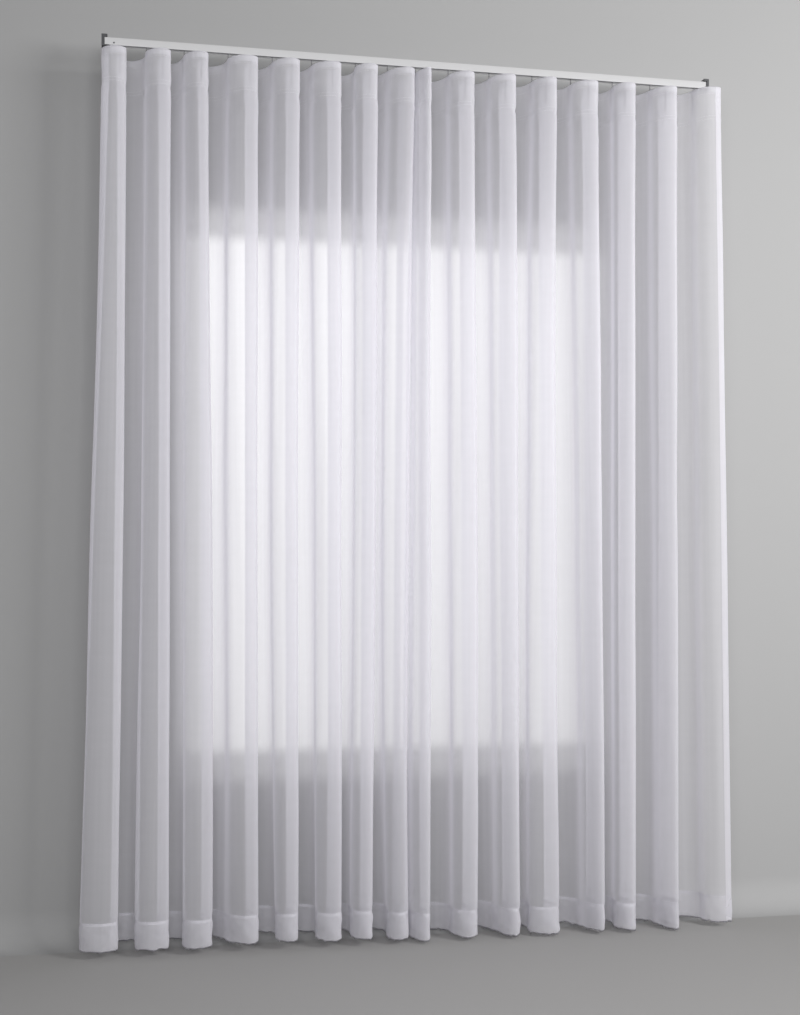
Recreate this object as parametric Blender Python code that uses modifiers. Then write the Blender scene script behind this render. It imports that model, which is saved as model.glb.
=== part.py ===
"""A pair of sheer voile curtain panels with wave folds, hung side by side from one slim rail.

X runs along the rail, +Y points away from the room and +Z is up, in metres. The origin is the middle
of the rail's flat top face, where its brackets grip. Each panel is one sheet of cloth with its hems,
and a heading tape is sewn behind its top. Each glider has a hook that reaches down behind the tape
where the cloth crosses under the rail.
"""

import math
from collections import namedtuple

import bmesh
import bpy
import numpy as np

COLLECTION = "sheer_voile_curtain"
MM = 0.001
GAP = 0.0003  # between pieces that touch on the real curtain

# Rail: a channel with a slot along its underside
RAIL_LENGTH = 1.757
RAIL_HEIGHT = 0.021
RAIL_DEPTH = 0.016
RAIL_WALL = 0.0015
SLOT_WIDTH = 0.006

# End caps: a plate over the rail's end, with a lip above the rail and one below it
CAP_PLATE = 0.008
CAP_TOP_LIP = 0.0075
CAP_TOP_REACH = 0.008
CAP_LOW_LIP = 0.004
CAP_LOW_REACH = 0.0125
CAP_DEPTH = 0.020
CAP_SEAT = 0.0004  # how far the rail's top is let down under a cap's top lip

# Cloth
CLOTH = 0.0012
HEM_CLOTH = 0.0020  # where the cloth is turned over on itself
HEADING_TOP = 0.038  # below the rail's top, where the cloth crosses under the rail
HEADING_TIP = 0.002  # how much higher its top stands in front of the rail, and lower behind it
HEADING_BAND = 0.100
HEM_DEPTH = 0.080
HEM_STEP = 0.002  # the short slope from one thickness to the other

# Heading tape
TAPE = 0.0010
TAPE_BELOW_TOP = 0.020
TAPE_WIDTH = 0.080

# Gliders
HEAD_RADIUS = 0.0045
HEAD_HEIGHT = 0.003
NECK_ROOT = 0.001  # of the neck's length, inside the head
NECK_RADIUS = 0.0012
NECK_END = 0.031  # below the rail's top, as the next two
HOOK_TOP = 0.028
HOOK_END = 0.096
HOOK_WIDTH = 0.0032
HOOK_THICKNESS = 0.0012

# Wave: how the folds are drawn in plan
TOP_DEPTH = 0.052  # from the rail's middle to the front or back of a fold, at the heading
FOOT_DEPTH = 0.057  # and at the hem
EVEN_WIDTH = 0.060  # a fold of this width between its crossings has that depth
DEPTH_FOR_WIDTH = 0.25  # a wider fold is shallower by this share of its extra width
CROSS = 0.12  # how steeply the cloth runs across the rail where it crosses under it
LEAD_WIDTH = 0.060  # of a back fold that the cloth's first side edge is part of the way round
STEPS = 7  # flat facets round a fold
FINE = 60  # points that a fold's curve is measured on
FITS = 5  # tries at how far apart its crossings stand

# One row for each front fold, left to right. In millimetres: where its middle stands along the rail
# at the heading, half way down and at the hem, how wide it is at the heading and at the hem, and how
# far below the rail's top its hem hangs. In degrees: how far the cloth leans over, where it crosses
# under the rail on the fold's left, at the heading and at the hem, and on its right. A lean above 0
# brings the cloth back behind its own fold, and one below 0 opens the fold.
Fold = namedtuple("Fold", "top middle foot width_top width_foot drop left_top left_foot right")

LEFT_FOLDS = (
    Fold(-854, -873, -895, 69, 108, 2499, 21, 21, 38),
    Fold(-735, -742, -752, 70, 89, 2499, 0, 28, 42),
    Fold(-632, -628, -628, 70, 83, 2501, -10, 25, 38),
    Fold(-503, -506, -504, 86, 91, 2495, -10, -25, 42),
    Fold(-383, -385, -379, 79, 66, 2495, -15, 15, 40),
    Fold(-269, -264, -262, 85, 68, 2499, -20, 15, 42),
    Fold(-154, -158, -169, 65, 60, 2497, 5, 10, 38),
    Fold(-54, -70, -63, 80, 61, 2506, -30, 10, 20),
)
RIGHT_FOLDS = (
    Fold(9, 4.5, 0.5, 43, 60, 2513, -20, -20, 30),
    Fold(122, 130, 132, 75, 72, 2510, -18, -5, 40),
    Fold(244, 252, 259, 76, 70, 2510, -18, -20, 42),
    Fold(370, 365, 370, 69, 91, 2513, -18, 12, 42),
    Fold(493, 508, 517, 79, 62, 2509, -15, -25, 40),
    Fold(614, 616, 617, 64, 62, 2512, 0, 12, 40),
    Fold(737, 742, 747, 76, 55, 2514, -25, -25, 42),
    Fold(881, 896, 913, 90, 98, 2505, -25, -25, 0),
)

# A panel: its folds, how far its first side edge is tucked in along the rail behind the front fold at
# the heading and how far it is set back there, the share of a back fold that comes before its first
# front fold, the share of its last front fold that there is cloth for, how far the heading stands up
# at its last side edge, and how much higher its hem hangs at the back.
Panel = namedtuple("Panel", "side folds tuck set_back lead last lift rise")

PANELS = (
    Panel("left", LEFT_FOLDS, 0.016, 0.0026, 0.0, 1.0, 0.0, 0.002),
    Panel("right", RIGHT_FOLDS, 0.0, 0.0, 0.5, 0.66, 0.010, 0.005),
)


def share_of_drop(panel, height):
    """How far down its fall the cloth is at a height: 0 all over the stiff heading, 1 at the hem."""
    top = -HEADING_TOP - HEADING_BAND
    foot = -np.mean([fold.drop for fold in panel.folds]) * MM
    return max((top - height) / (top - foot), 0.0)


def between_stations(top, middle, foot, share):
    """A smooth value through three stations at the heading, half way down and at the hem."""
    heading = top * (1 - share) * (1 - 2 * share)
    centre = 4 * middle * share * (1 - share)
    return heading + centre + foot * share * (2 * share - 1)


def along_rail(u, width, leans):
    """How far along the rail a fold has come from its first crossing, for u from 0 to 1.

    With s = sin pi u and d = sin 2 pi u it is width u - P (s + d / 2) + Q (s - d / 2), where P and Q
    give the cloth its lean at the two crossings.
    """
    single, double = np.sin(math.pi * u), np.sin(2 * math.pi * u)
    first = (width + leans[0]) / (2 * math.pi)
    second = (width + leans[1]) / (2 * math.pi)
    return width * u - first * (single + double / 2) + second * (single - double / 2)


def crossings(panel, share):
    """Where the cloth crosses under the rail's middle at one share of the drop, and its lean there.

    A fold bulges past its crossings, so they stand closer together than the fold is wide.
    """
    u = np.linspace(0, 1, FINE)
    places, leans = [], []
    for fold in panel.folds:
        middle = between_stations(fold.top, fold.middle, fold.foot, share) * MM
        width = (fold.width_top * (1 - share) + fold.width_foot * share) * MM
        left = CROSS * math.tan(math.radians(fold.left_top * (1 - share) + fold.left_foot * share))
        right = CROSS * math.tan(math.radians(fold.right))
        start, end = 0.0, width
        for _ in range(FITS):
            x = along_rail(u, end - start, (left, right))
            start, end = -x.min(), width - (x.max() - x[-1])
        places += [middle - width / 2 + start, middle - width / 2 + end]
        leans += [left, right]
    if panel.lead:
        places.insert(0, places[0] - LEAD_WIDTH)
        leans.insert(0, 0.0)
    return places, leans


def fold_curve(width, depth, leans, tuck, set_back, part):
    """One fold in plan, or a part of it, at even steps along the cloth.

    y = A sin pi u - C sin 3 pi u, where A and C make the fold reach its depth and cross the rail as
    steeply as its neighbours. A side edge that is tucked in starts further along the rail and
    further back.
    """
    u = np.linspace(*part, FINE)
    third = (depth - CROSS / math.pi) / 4
    edge = np.where(u < 0.25, np.cos(2 * math.pi * u) ** 2, 0)
    x = along_rail(u, width, leans) + tuck * edge
    y = (depth - third) * np.sin(math.pi * u) - third * np.sin(3 * math.pi * u) - set_back * edge
    along = np.concatenate(([0], np.cumsum(np.hypot(np.diff(x), np.diff(y)))))
    even = np.linspace(0, along[-1], STEPS + 1)
    return np.interp(even, along, x), np.interp(even, along, y)


def folds_before(panel):
    """How many folds, or parts of one, come before the first front fold."""
    return 1 if panel.lead else 0


def wave(panel, share):
    """The front face of the cloth in plan, at one share of the drop: a point for each column."""
    places, leans = crossings(panel, share)
    depth = TOP_DEPTH + (FOOT_DEPTH - TOP_DEPTH) * share
    count = len(places) - 1
    before = folds_before(panel)
    points = []
    for i in range(count):
        width = places[i + 1] - places[i]
        reach = depth - DEPTH_FOR_WIDTH * (width - EVEN_WIDTH)
        tucked = 1 - share if i == 0 else 0.0
        part = (1 - panel.lead if i < before else 0.0, panel.last if i == count - 1 else 1.0)
        x, y = fold_curve(
            width, reach, leans[i : i + 2], panel.tuck * tucked, panel.set_back * tucked, part
        )
        side = -1 if i % 2 == before else 1
        fold = np.column_stack((places[i] + x, side * y))
        points.append(fold if i == count - 1 else fold[:-1])
    return np.concatenate(points)


def folds_along(panel):
    """How many folds each column stands from where the first front fold starts."""
    before = folds_before(panel)
    last = 2 * len(panel.folds) - 2
    folds = np.arange(STEPS * (last + 1 + before) + 1) / STEPS - before
    folds = np.where(folds < 0, folds * panel.lead, folds)
    return np.where(folds > last, last + (folds - last) * panel.last, folds)


def heading_heights(panel):
    """How far below the rail's top the cloth's top edge is at each column.

    It waves a little with the folds, and rises through the last back fold to the last side edge.
    """
    folds = folds_along(panel)
    up = np.clip((folds - 2 * len(panel.folds) + 3.1) / 0.6, 0, 1)
    lift = panel.lift * up * up * (3 - 2 * up)
    return HEADING_TOP - HEADING_TIP * np.sin(math.pi * folds) - lift


def hem_heights(panel):
    """How far below the rail's top the hem hangs at each column.

    It runs straight from the middle of one front fold to the next, less a rise in the fold behind.
    """
    folds = folds_along(panel)
    middles = 2 * np.arange(len(panel.folds)) + 0.5
    fronts = np.interp(folds, middles, [fold.drop * MM for fold in panel.folds])
    return fronts - panel.rise * (1 - np.cos(math.pi * (folds - 0.5))) / 2


def pushed_back(points, distance):
    """A plan line set back behind another by an even distance, mitred at its corners."""
    ahead = np.diff(points, axis=0)
    normals = np.column_stack((-ahead[:, 1], ahead[:, 0]))
    normals /= np.linalg.norm(normals, axis=1)[:, None]
    before = np.vstack((normals[:1], normals))
    after = np.vstack((normals, normals[-1:]))
    mitre = before + after
    mitre /= (1 + (before * after).sum(axis=1))[:, None]
    return points + mitre * distance


def material(name, colour, roughness, metallic=0.0, alpha=1.0):
    made = bpy.data.materials.new(name)
    made.use_nodes = True
    shader = made.node_tree.nodes["Principled BSDF"]
    shader.inputs["Base Color"].default_value = (*colour, 1.0)
    shader.inputs["Roughness"].default_value = roughness
    shader.inputs["Metallic"].default_value = metallic
    shader.inputs["Alpha"].default_value = alpha
    made.diffuse_color = (*colour, 1.0)
    return made


def add(name, data, finish, collection):
    """An object in the collection, with its one material."""
    made = bpy.data.objects.new(name, data)
    if not data.materials:
        data.materials.append(finish)
    collection.objects.link(made)
    return made


def sheet(name, plans, heights, thickness, thin, weights, finish, collection):
    """One sheet of cloth: its front face with a Solidify that adds the thickness behind it.

    plans and heights hold a row of points for each height. Where a point's weight is 0 the sheet is
    `thin`, and where it is 1 it has its whole thickness.
    """
    rows, columns = heights.shape
    points = np.dstack((plans[:, :, 0], plans[:, :, 1], heights)).reshape(-1, 3)
    corner = (np.arange(rows - 1)[:, None] * columns + np.arange(columns - 1)).reshape(-1)
    faces = np.column_stack((corner, corner + 1, corner + 1 + columns, corner + columns))
    mesh = bpy.data.meshes.new(name)
    mesh.from_pydata(points.tolist(), [], faces.tolist())
    mesh.shade_smooth()
    made = add(name, mesh, finish, collection)
    group = made.vertex_groups.new(name="hems")
    flat = weights.reshape(-1)
    for value in np.unique(flat):
        group.add(np.flatnonzero(flat == value).tolist(), float(value), "REPLACE")
    solidify = made.modifiers.new("thickness", "SOLIDIFY")
    solidify.thickness = thickness
    solidify.offset = -1
    solidify.use_even_offset = True
    solidify.vertex_group = "hems"
    solidify.thickness_vertex_group = thin / thickness
    return made


def curtain_panel(panel, finish, collection):
    """The cloth of one panel, from its hem up to the heading, with its turned hems in it."""
    foot = -hem_heights(panel)
    top = -heading_heights(panel)
    band = top - HEADING_BAND
    hem = foot + HEM_DEPTH
    rows = [foot, hem, hem + HEM_STEP]
    rows += [hem + (band - hem) * share for share in (0.2, 0.4, 0.6, 0.8)]
    rows += [band - HEM_STEP, band, top]
    heights = np.array(rows)
    plans = np.array([wave(panel, share_of_drop(panel, np.mean(row))) for row in rows])
    doubled = np.zeros_like(heights)
    doubled[[0, 1, -2, -1]] = 1
    doubled[:, [0, 1, -2, -1]] = 1
    name = "curtain_" + panel.side
    return sheet(name, plans, heights, HEM_CLOTH, CLOTH, doubled, finish, collection)


def heading_tape(panel, finish, collection):
    """The tape sewn behind the heading, set back by the doubled cloth and a gap."""
    top = -heading_heights(panel) - TAPE_BELOW_TOP
    line = pushed_back(wave(panel, 0.0), HEM_CLOTH + GAP)
    plans = np.array((line, line))
    heights = np.array((top - TAPE_WIDTH, top))
    whole = np.ones_like(heights)
    name = "heading_tape_" + panel.side
    return sheet(name, plans, heights, TAPE, TAPE, whole, finish, collection)


def outline(name, points, depth, turn, finish, collection):
    """A flat outline with straight sides, extruded to a depth about its middle."""
    curve = bpy.data.curves.new(name, "CURVE")
    curve.dimensions = "2D"
    curve.fill_mode = "BOTH"
    curve.extrude = depth / 2
    line = curve.splines.new("POLY")
    line.points.add(len(points) - 1)
    for point, (across, up) in zip(line.points, points):
        point.co = (across, up, 0, 1)
    line.use_cyclic_u = True
    made = add(name, curve, finish, collection)
    made.rotation_euler = turn
    return made


def box_mesh(name, size, middle):
    """A box with its sides along the axes."""
    mesh = bpy.data.meshes.new(name)
    shape = bmesh.new()
    bmesh.ops.create_cube(shape, size=1)
    bmesh.ops.scale(shape, vec=size, verts=shape.verts)
    bmesh.ops.translate(shape, vec=middle, verts=shape.verts)
    shape.to_mesh(mesh)
    shape.free()
    return mesh


def tool(name, mesh, workshop):
    """A guide or cutter, which is not part of the curtain."""
    made = bpy.data.objects.new(name, mesh)
    workshop.objects.link(made)
    made.hide_render = True
    made.display_type = "WIRE"
    return made


def as_mesh(made, collection):
    """The same solid as a mesh, with a curve's loose caps merged into it."""
    bpy.context.view_layer.update()
    data = bpy.data.meshes.new_from_object(made.evaluated_get(bpy.context.evaluated_depsgraph_get()))
    shape = bmesh.new()
    shape.from_mesh(data)
    bmesh.ops.remove_doubles(shape, verts=shape.verts, dist=0.00001)
    shape.to_mesh(data)
    shape.free()
    solid = bpy.data.objects.new("solid", data)
    solid.matrix_world = made.matrix_world
    name = made.name
    bpy.data.objects.remove(made)
    solid.name = name
    collection.objects.link(solid)
    return solid


def rail(finish, collection, workshop):
    """The rail's channel, from its section across the rail, its top let down under the caps' lips."""
    half = RAIL_DEPTH / 2
    inner = half - RAIL_WALL
    slot = SLOT_WIDTH / 2
    floor = -RAIL_HEIGHT + RAIL_WALL
    right = [(half, 0), (half, -RAIL_HEIGHT), (slot, -RAIL_HEIGHT), (slot, floor)]
    right += [(inner, floor), (inner, -RAIL_WALL)]
    section = right + [(-across, up) for across, up in reversed(right)]
    turn = (math.pi / 2, 0, math.pi / 2)
    made = as_mesh(outline("rail", section, RAIL_LENGTH, turn, finish, collection), collection)
    reach = CAP_TOP_REACH + 2 * GAP
    for side, sign in (("left", -1), ("right", 1)):
        size = (2 * reach, CAP_DEPTH, 2 * CAP_SEAT)
        seat = tool("seat_" + side, box_mesh("seat", size, (sign * RAIL_LENGTH / 2, 0, 0)), workshop)
        cut = made.modifiers.new(seat.name, "BOOLEAN")
        cut.operation = "DIFFERENCE"
        cut.object = seat


def end_cap(side, sign, finish, collection):
    """A cap seen from the front: a plate past the rail's end and two lips that hold the rail."""
    end = RAIL_LENGTH / 2 + GAP
    outer = end + CAP_PLATE
    top, low = GAP - CAP_SEAT, -RAIL_HEIGHT - GAP
    section = [(outer, top + CAP_TOP_LIP), (outer, low - CAP_LOW_LIP)]
    section += [(end - CAP_LOW_REACH, low - CAP_LOW_LIP), (end - CAP_LOW_REACH, low)]
    section += [(end, low), (end, top)]
    section += [(end - CAP_TOP_REACH, top), (end - CAP_TOP_REACH, top + CAP_TOP_LIP)]
    shape = [(sign * along, up) for along, up in section]
    turn = (math.pi / 2, 0, 0)
    return outline("end_cap_" + side, shape, CAP_DEPTH, turn, finish, collection)


def turned(name, radius, high, low, sides):
    """An upright round bar as a mesh, between two depths below the rail's top."""
    mesh = bpy.data.meshes.new(name)
    shape = bmesh.new()
    bmesh.ops.create_cone(
        shape, cap_ends=True, segments=sides, radius1=radius, radius2=radius, depth=low - high
    )
    bmesh.ops.translate(shape, vec=(0, 0, -(high + low) / 2), verts=shape.verts)
    shape.to_mesh(mesh)
    shape.free()
    return mesh


def glider_mesh(workshop):
    """A glider's head, its neck and its flat hook, joined into one solid."""
    seat = RAIL_HEIGHT - RAIL_WALL - GAP
    head = tool("head", turned("head", HEAD_RADIUS, seat - HEAD_HEIGHT, seat, 8), workshop)
    neck = tool("neck", turned("neck", NECK_RADIUS, seat - NECK_ROOT, NECK_END, 6), workshop)
    size = (HOOK_THICKNESS, HOOK_WIDTH, HOOK_END - HOOK_TOP)
    hook = tool("hook", box_mesh("hook", size, (0, 0, -(HOOK_TOP + HOOK_END) / 2)), workshop)
    for piece in (neck, hook):
        union = head.modifiers.new("with " + piece.name, "BOOLEAN")
        union.operation = "UNION"
        union.object = piece
    made = bpy.data.meshes.new_from_object(head.evaluated_get(bpy.context.evaluated_depsgraph_get()))
    made.name = "glider"
    for piece in (head, neck, hook):
        bpy.data.objects.remove(piece)
    return made


def gliders(panel, mesh, finish, collection):
    """A glider at each place where the cloth crosses under the rail, its hook behind the tape.

    A panel whose cloth ends part of the way round its last front fold has no crossing there.
    """
    line = wave(panel, 0.0)
    behind = HEM_CLOTH + GAP + TAPE + GAP + HOOK_THICKNESS / 2
    hooks = pushed_back(line, behind)
    count = len(panel.folds) * 2 - (0 if panel.last == 1.0 else 1)
    for i in range(count):
        column = (i + folds_before(panel)) * STEPS
        near = slice(max(column - 1, 0), column + 2)
        across = hooks[near][np.argsort(hooks[near][:, 1])]
        place = [np.interp(0, across[:, 1], across[:, axis]) for axis in (0, 1)]
        along = line[near][-1] - line[near][0]
        name = f"glider_{panel.side}_{i + 1:02d}"
        made = add(name, mesh, finish, collection)
        made.location = (*place, 0)
        made.rotation_euler = (0, 0, math.atan2(along[1], along[0]) - math.pi / 2)


def main():
    for item in list(bpy.data.objects):
        bpy.data.objects.remove(item)
    collection = bpy.data.collections.new(COLLECTION)
    workshop = bpy.data.collections.new("workshop")
    bpy.context.scene.collection.children.link(collection)
    bpy.context.scene.collection.children.link(workshop)

    voile = material("voile", (0.86, 0.86, 0.89), 0.9, alpha=0.55)
    tape = material("heading_tape", (0.84, 0.84, 0.87), 0.9, alpha=0.75)
    enamel = material("white_rail", (0.80, 0.80, 0.80), 0.4)
    dark_cap = material("dark_grey_cap", (0.07, 0.07, 0.075), 0.5)
    nylon = material("glider_nylon", (0.55, 0.55, 0.57), 0.5)

    rail(enamel, collection, workshop)
    end_cap("left", -1, dark_cap, collection)
    end_cap("right", 1, dark_cap, collection)
    mesh = glider_mesh(workshop)
    for panel in PANELS:
        curtain_panel(panel, voile, collection)
        heading_tape(panel, tape, collection)
        gliders(panel, mesh, nylon, collection)


main()
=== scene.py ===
"""Looks for a pair of sheer voile curtain panels that hang in wave folds from one slim white rail.

X runs along the rail, +Y points away from the room and +Z is up, in metres. The cloth follows the same
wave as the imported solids: fold_plan gives the front face of the cloth in plan, and every layer of
cloth, tape and stitching is set off behind or before that face.
"""

from collections import namedtuple
from functools import partial

import bmesh
import bpy
import numpy as np
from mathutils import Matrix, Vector


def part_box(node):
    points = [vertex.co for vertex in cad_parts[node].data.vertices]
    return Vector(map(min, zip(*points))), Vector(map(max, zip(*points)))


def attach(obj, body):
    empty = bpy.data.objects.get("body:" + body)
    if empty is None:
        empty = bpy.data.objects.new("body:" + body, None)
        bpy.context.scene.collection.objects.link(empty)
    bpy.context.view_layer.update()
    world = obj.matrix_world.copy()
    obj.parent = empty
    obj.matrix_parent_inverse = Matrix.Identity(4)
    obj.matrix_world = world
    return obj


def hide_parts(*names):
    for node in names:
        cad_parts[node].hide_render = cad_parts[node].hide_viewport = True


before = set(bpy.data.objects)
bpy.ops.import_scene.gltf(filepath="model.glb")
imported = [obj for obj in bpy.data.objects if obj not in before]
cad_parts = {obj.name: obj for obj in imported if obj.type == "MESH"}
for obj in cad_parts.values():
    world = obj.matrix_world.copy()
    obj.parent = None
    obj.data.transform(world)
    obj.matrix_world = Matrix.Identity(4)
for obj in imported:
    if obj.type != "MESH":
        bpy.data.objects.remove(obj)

MM = 0.001
PI = np.pi
FAR = 9.0  # further down than anything is
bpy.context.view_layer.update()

# Cloth: the sizes that the solids have
HEADING_TOP = 0.038  # below the rail's top, where the cloth crosses under the rail
HEADING_TIP = 0.002  # how much higher its top stands in front of the rail, and lower behind it
HEADING_BAND = 0.100  # its stiff part
HEM_DEPTH = 0.080
HEM_TURN = 0.008  # turned in at the top of the hem
HEADING_TURN = 0.022  # turned over at the top
SIDE_HEM = 0.022
TAPE_BELOW_TOP = 0.020
TAPE_WIDTH = 0.080
EASE = 0.002  # how far a turning or a seam stops short of the edge beside it
EDGE_ROLL = 0.0004  # from a side edge to where its hem lies flat
DROP = 2.5  # of the cloth's foot, to count its rows by

# Where each layer lies behind the front face of the solid
FRONT_LAYER = 0.0002
SIDE_LAYER = 0.0008
BACK_LAYER = 0.0014
FOLD_LAYER = (BACK_LAYER + FRONT_LAYER) / 2  # where the cloth turns from the front to the back
TAPE_LAYER = 0.0028

# How close the yarns stand, 1 on flat cloth
BEHIND_HEM = 0.8  # which is pulled flat
SIDE_TURN = 1.5
TOP_TURN = 2.0
FOOT_TURN = 3.0
HEM_EDGE = 4.0  # turned in at the top of the hem
PAINTED_STRIP_DENSITY = 2.6  # a painted highlight: this much denser on the left of a front fold, so that a strip there shows brighter
PAINTED_STRIP_PLACE = (0.06, 0.08)  # loops past the crossing on its left where the painted strip lies, and its reach

# Wave
TOP_DEPTH = 0.052  # from the rail's middle to the front or back of a fold, at the heading
FOOT_DEPTH = 0.057  # and at the hem
EVEN_WIDTH = 0.060  # a fold of this width between its crossings has that depth
DEPTH_FOR_WIDTH = 0.25
CROSS = 0.12  # how steeply the cloth runs across the rail where it crosses under it
LEAD_WIDTH = 0.060  # of a back fold that comes before the first front fold
TUCK_SHARE = 0.25  # of the first fold, over which its tuck fades
LIFT_START = 1.1  # loops before the last front fold, where the heading starts to rise
LIFT_LOOPS = 0.6  # that it takes to rise
FINE = 60  # points that a fold's curve is measured on
FITS = 5  # tries at how far apart its crossings stand
COLUMN = 0.0062  # width of cloth between two columns of points
ROW = 0.022  # and its height between two rows, away from the hems
HEM_ROW = 0.004
SPAN = 2.8  # more than the cloth is wide or high

# Small unevenness: how far it moves the cloth, and how long its cells are across it and down it
Ripple = namedtuple("Ripple", "depth across down")

BROAD_RIPPLE = Ripple(0.0017, 0.046, 0.60)
FINE_RIPPLE = Ripple(0.0008, 0.019, 0.34)
HEM_PUCKER = Ripple(0.0010, 0.012, 0.018)
HEM_WRINKLE = Ripple(0.0017, 0.026, 0.030)
HEM_CRINKLE = Ripple(0.0007, 0.013, 0.016)
HEADING_PUCKER = Ripple(0.0011, 0.013, 0.016)
HEADING_DENT = Ripple(0.0008, 0.024, 0.045)
HEADING_ROLL = Ripple(0.0010, 0.05, 0.3)
SLOW_SWAY = Ripple(0.0022, 0.060, 0.80)
HEADING_KINK = Ripple(0.0012, 0.030, 0.032)
FOOT_WAVE = Ripple(0.00252, 0.014, 0.05)
FOOT_NIBBLE = Ripple(0.0042, 0.007, 0.05)
CREASE_EASE = 0.25  # at both ends of a crease
HEADING_DAMPING = 0.25  # of the broad and fine ripples, at the stiff heading
RIPPLE_EASE = 0.22  # below the heading, over which they grow
SWAY_EASE = 0.40
KINKS = (0.15, 0.06)  # how far down the kinks are, and their reach
SEAM_SINK = 0.0008  # of the hem's seam
SEAM_REACH = 0.014
HEM_EASE = 0.010
HEADING_SEAM_SINK = 0.0010
HEADING_SEAM_REACH = 0.010
HEADING_EASE = 0.030
ROLL_REACH = 0.012
FOOT_REACH = 0.006
LIFT = 0.0035  # of the heading's top, near a front fold's right edge
LIFT_REACH = 0.030  # down the cloth
LIFTED = (0.86, 0.16)  # loops past the crossing on the fold's left that it lies at, and reaches
DIP = 0.0040  # of the heading's top, on the left panel's first fold
DIP_REACH = 0.060
DIPPED = (0.1, 0.6)  # as for the lift

# Stitches
STITCH = 0.0036  # from one to the next
STITCH_LENGTH = 0.0027
THREAD = 0.00045
PROUD = 0.0001  # how far a stitch's middle stands out from its ends
HEM_SEAM = 0.0035  # below the top of the hem
HEADING_SEAMS = (0.003, 0.012, HEADING_BAND - TAPE_BELOW_TOP - EASE)  # above the heading's foot
SIDE_SEAM = SIDE_HEM - EASE  # from the side edge
SIDE_STEP = 0.003  # to each side of it, to find the cloth's slope

# Heading tape
TAPE_ROWS = 33
RIB_PITCH = 0.0135
RIB_DEPTH = 0.00025
POCKET_PITCH = 0.009
POCKET_DEPTH = 0.0001

# Rail, caps and gliders
JOINT_GAP = 0.0003  # between pieces that fit together
RAIL_WALL = 0.0015
SLOT_HALF = 0.003
RAIL_CORNER = 0.0008  # how far in its corners start to turn
RAIL_TOP_CORNER = 0.0028  # and its two top ones, which are rounder
CAP_REACH = 0.008  # of the upper lip, over the rail
CAP_CORNER = 0.0010  # in its outline
CAP_EDGE = 0.0006  # along its edges
SCREW_PLACE = (-0.8535, -0.0150)  # along the rail, and below its top
TURN_STEP = 0.02  # loops to each side of a crossing, to find the cloth's direction there
HOOK_TOP = 0.0118  # below the top of the glider's head, as the next three
HOOK_CLOSE_ROWS = 0.018  # its rows of points are close down to here
HOOK_WIDE_ROWS = 0.022  # and wide apart from here on
HOOK_FOOT = 0.0798
HOOK_END = 0.0006
HOOK_TAPER = 0.002
HOOK_HALF_WIDTH = 0.0016
HOOK_HALF_THICKNESS = 0.0006
HOOK_BOW = 0.0004
HOOK_CORNER = 0.55  # 1 for an oval section, less for a squarer one

# Turned profiles. A row for each step: its radius, and how proud it stands of the rail's face
SCREW_PROFILE = (
    (0.0, 0.0001), (0.0008, 0.0001), (0.0009, 0.0006),
    (0.0019, 0.0006), (0.0023, 0.0003), (0.0024, -0.0002),
)
# A row for each step: its radius, and how far below the top of the head it is
GLIDER_PROFILE = (
    (0.0, 0.0), (0.0036, 0.0), (0.0043, 0.0004), (0.0045, 0.0010), (0.0045, 0.0024),
    (0.0041, 0.0030), (0.0014, 0.0031), (0.0012, 0.0036), (0.0012, 0.0102), (0.0017, 0.0110),
    (0.0019, 0.0125), (0.0015, 0.0140), (0.0, 0.0146),
)

# Cloth finishes: their colour, the share that one thickness covers, how uneven that is, how fine the
# yarns are, and the share of light that they let glow through
Weave = namedtuple("Weave", "name colour cover streak yarns glow")

VOILE = Weave("voile", (0.895, 0.886, 0.93), 0.48, 0.06, 450.0, 0.45)
WOVEN_TAPE = Weave("heading_tape", (0.90, 0.90, 0.92), 0.16, 0.06, 300.0, 0.45)
WARP_STREAKS = (75.0, 1.4)  # cells a metre, across the cloth and down it
WEFT_STREAKS = (6.0, 60.0)
GRAZING = 0.28  # the cosine past which the yarns cover no more
THREAD_COLOUR = (0.86, 0.86, 0.89)

# Hard finishes: the grain's cells a metre and its depth, and a clear coat over it
Finish = namedtuple("Finish", "name colour roughness grain depth coat")

ENAMEL = Finish("white_enamel", (0.51, 0.51, 0.515), 0.36, 900.0, 0.00005, 0.2)
DARK_PLASTIC = Finish("dark_grey_plastic", (0.055, 0.056, 0.060), 0.5, 2600.0, 0.0001, 0.0)
NYLON = Finish("grey_nylon", (0.18, 0.18, 0.19), 0.45, 1800.0, 0.00005, 0.0)

# Studio
Light = namedtuple("Light", "name place target size power colour")

KEY = Light("key", (2.6, -2.9, -0.25), (0.3, 0, -0.7), (1.6, 1.0), 104, (1.0, 0.995, 0.99))
FILL = Light("fill", (-0.7, -4.3, -0.65), (0.0, 0, -0.8), (2.2, 1.2), 84, (0.99, 0.99, 1.0))
GLOW = Light("glow", (-0.025, 0.145, -1.243), (-0.025, -9.0, -1.243), (1.34, 1.73), 4.9, (1, 1, 1))
GLOW_CORE = (0.83, 0.89)  # from where to where it weakens, 0 in its middle and 1 at its rim
GLOW_RIM = (0.92, 1.0)  # and where its skirt does
GLOW_SKIRT = 0.32  # of its strength, in a band round its core
GLOW_LEANS = ((0.86, 1.28), (0.76, 1.12))  # its strength right and left, then low and high
AIR_COLOUR = (0.57, 0.57, 0.575)
AIR_STRENGTH = 0.62
FLOOR_COLOUR = (0.34, 0.335, 0.33)
FLOOR_HEIGHT = -2.522
FLOOR_SPAN = 7.0  # from its middle to each side
BACKDROP = 0.15  # behind the rail's middle
BACKDROP_TOP = 2.5
BACKDROP_SPAN = 5.0  # from its middle to each side
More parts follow.
